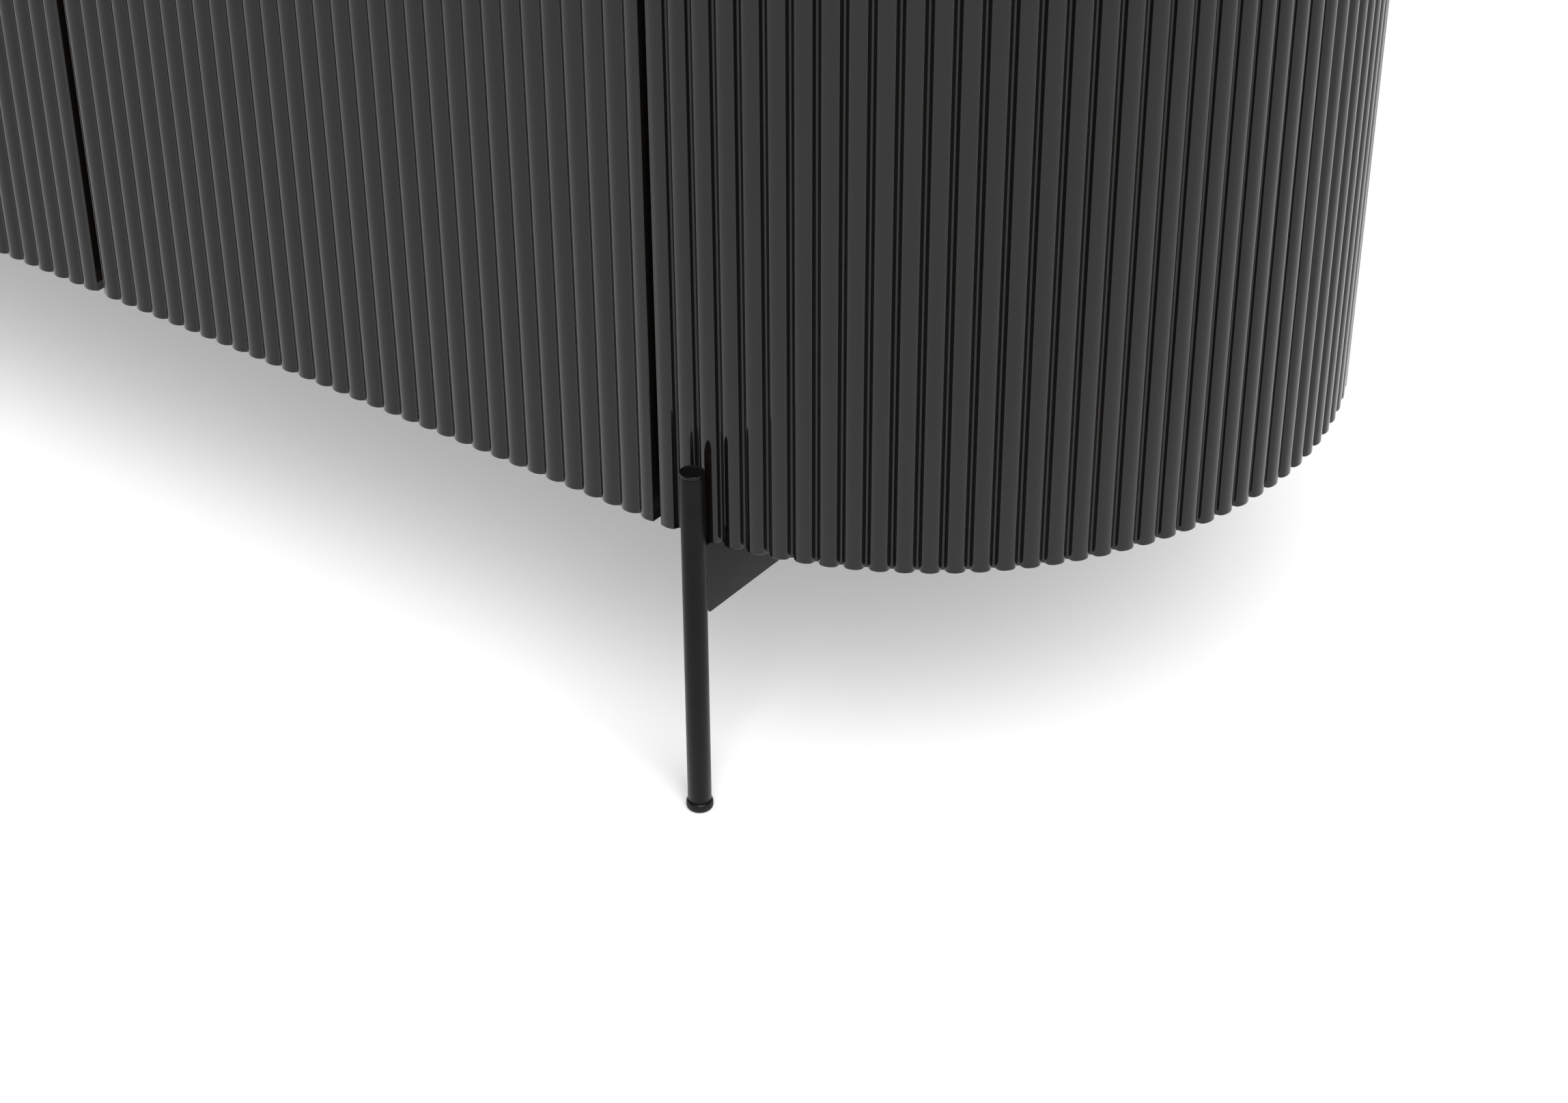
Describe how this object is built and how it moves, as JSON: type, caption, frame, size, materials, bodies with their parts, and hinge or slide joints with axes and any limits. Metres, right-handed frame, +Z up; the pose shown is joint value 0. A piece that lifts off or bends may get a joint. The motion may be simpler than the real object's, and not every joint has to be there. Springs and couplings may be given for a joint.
{
  "type": "sideboard buffet",
  "caption": "Long low sideboard with vertical fluted doors, half-round fluted ends and slim round outboard legs on cross rails.",
  "frame": {"origin": "on the floor under the middle of the cabinet", "axes": "+Z up, +X to the right along the front, the doors face -Y"},
  "size_m": [1.9996, 0.4752, 0.75],
  "materials": {
    "lacquered_wood": "graphite gloss lacquer on MDF, slightly wavy",
    "interior_board": "dark matt foil-faced board",
    "dowel_wood": "plain beech",
    "plated_steel": "nickel plated",
    "black_powder_coat": "satin black fine-textured powder coat",
    "black_plastic": "moulded, satin",
    "clear_bumper": "translucent soft dot"
  },
  "bodies": {
    "cabinet": {"top_panel": "lacquered_wood", "bottom_panel": "interior_board", "back_panel": "lacquered_wood", "left_end_shell": "lacquered_wood", "right_end_shell": "lacquered_wood", "left_upright": "interior_board", "right_upright": "interior_board", "centre_partition": "interior_board", "left_shelf": "interior_board", "right_shelf": "interior_board", "shelf_pins": "plated_steel", "carcass_dowels": "dowel_wood", "back_screws": "plated_steel", "hinge_arms": "plated_steel", "hinge_plates": "plated_steel", "hinge_screws": "plated_steel", "latch_housings": "black_plastic", "left_front_leg": "black_powder_coat", "left_rear_leg": "black_powder_coat", "right_front_leg": "black_powder_coat", "right_rear_leg": "black_powder_coat", "left_cross_rail": "black_powder_coat", "right_cross_rail": "black_powder_coat", "left_rail_plate": "black_powder_coat", "right_rail_plate": "black_powder_coat", "rail_screws": "plated_steel", "leg_caps": "black_plastic", "leg_inserts": "plated_steel"},
    "left_outer_door": {"left_outer_door": "lacquered_wood", "left_outer_hinge_cups": "plated_steel", "left_outer_cup_screws": "plated_steel", "left_outer_strike_plate": "plated_steel", "left_outer_bumpers": "clear_bumper"},
    "left_outer_latch_plunger": {"left_outer_latch_plunger": "black_plastic"},
    "left_inner_door": {"left_inner_door": "lacquered_wood", "left_inner_hinge_cups": "plated_steel", "left_inner_cup_screws": "plated_steel", "left_inner_strike_plate": "plated_steel", "left_inner_bumpers": "clear_bumper"},
    "left_inner_latch_plunger": {"left_inner_latch_plunger": "black_plastic"},
    "right_inner_door": {"right_inner_door": "lacquered_wood", "right_inner_hinge_cups": "plated_steel", "right_inner_cup_screws": "plated_steel", "right_inner_strike_plate": "plated_steel", "right_inner_bumpers": "clear_bumper"},
    "right_inner_latch_plunger": {"right_inner_latch_plunger": "black_plastic"},
    "right_outer_door": {"right_outer_door": "lacquered_wood", "right_outer_hinge_cups": "plated_steel", "right_outer_cup_screws": "plated_steel", "right_outer_strike_plate": "plated_steel", "right_outer_bumpers": "clear_bumper"},
    "right_outer_latch_plunger": {"right_outer_latch_plunger": "black_plastic"},
    "left_front_glide": {"left_front_glide": "black_plastic"},
    "left_rear_glide": {"left_rear_glide": "black_plastic"},
    "right_front_glide": {"right_front_glide": "black_plastic"},
    "right_rear_glide": {"right_rear_glide": "black_plastic"}
  },
  "joints": [
    {"name": "left_outer_door_hinge", "type": "hinge", "parent": "cabinet", "child": "left_outer_door", "pos_m": [-0.7693, -0.22414, 0.44], "axis": [0, 0, -1], "range_deg": [0, 105]},
    {"name": "left_outer_latch_push", "type": "slide", "parent": "cabinet", "child": "left_outer_latch_plunger", "axis": [0, 1, 0], "range_m": [0, 0.0025], "stiffness_N_per_m": 300, "springref_m": -0.002},
    {"name": "left_inner_door_hinge", "type": "hinge", "parent": "cabinet", "child": "left_inner_door", "pos_m": [-0.0071, -0.22414, 0.44], "axis": [0, 0, 1], "range_deg": [0, 90]},
    {"name": "left_inner_latch_push", "type": "slide", "parent": "cabinet", "child": "left_inner_latch_plunger", "axis": [0, 1, 0], "range_m": [0, 0.0025], "stiffness_N_per_m": 300, "springref_m": -0.002},
    {"name": "right_inner_door_hinge", "type": "hinge", "parent": "cabinet", "child": "right_inner_door", "pos_m": [0.0071, -0.22414, 0.44], "axis": [0, 0, -1], "range_deg": [0, 90]},
    {"name": "right_inner_latch_push", "type": "slide", "parent": "cabinet", "child": "right_inner_latch_plunger", "axis": [0, 1, 0], "range_m": [0, 0.0025], "stiffness_N_per_m": 300, "springref_m": -0.002},
    {"name": "right_outer_door_hinge", "type": "hinge", "parent": "cabinet", "child": "right_outer_door", "pos_m": [0.7693, -0.22414, 0.44], "axis": [0, 0, 1], "range_deg": [0, 105]},
    {"name": "right_outer_latch_push", "type": "slide", "parent": "cabinet", "child": "right_outer_latch_plunger", "axis": [0, 1, 0], "range_m": [0, 0.0025], "stiffness_N_per_m": 300, "springref_m": -0.002},
    {"name": "left_front_glide_height", "type": "slide", "parent": "cabinet", "child": "left_front_glide", "axis": [0, 0, -1], "range_m": [0, 0.008]},
    {"name": "left_rear_glide_height", "type": "slide", "parent": "cabinet", "child": "left_rear_glide", "axis": [0, 0, -1], "range_m": [0, 0.008]},
    {"name": "right_front_glide_height", "type": "slide", "parent": "cabinet", "child": "right_front_glide", "axis": [0, 0, -1], "range_m": [0, 0.008]},
    {"name": "right_rear_glide_height", "type": "slide", "parent": "cabinet", "child": "right_rear_glide", "axis": [0, 0, -1], "range_m": [0, 0.008]}
  ]
}
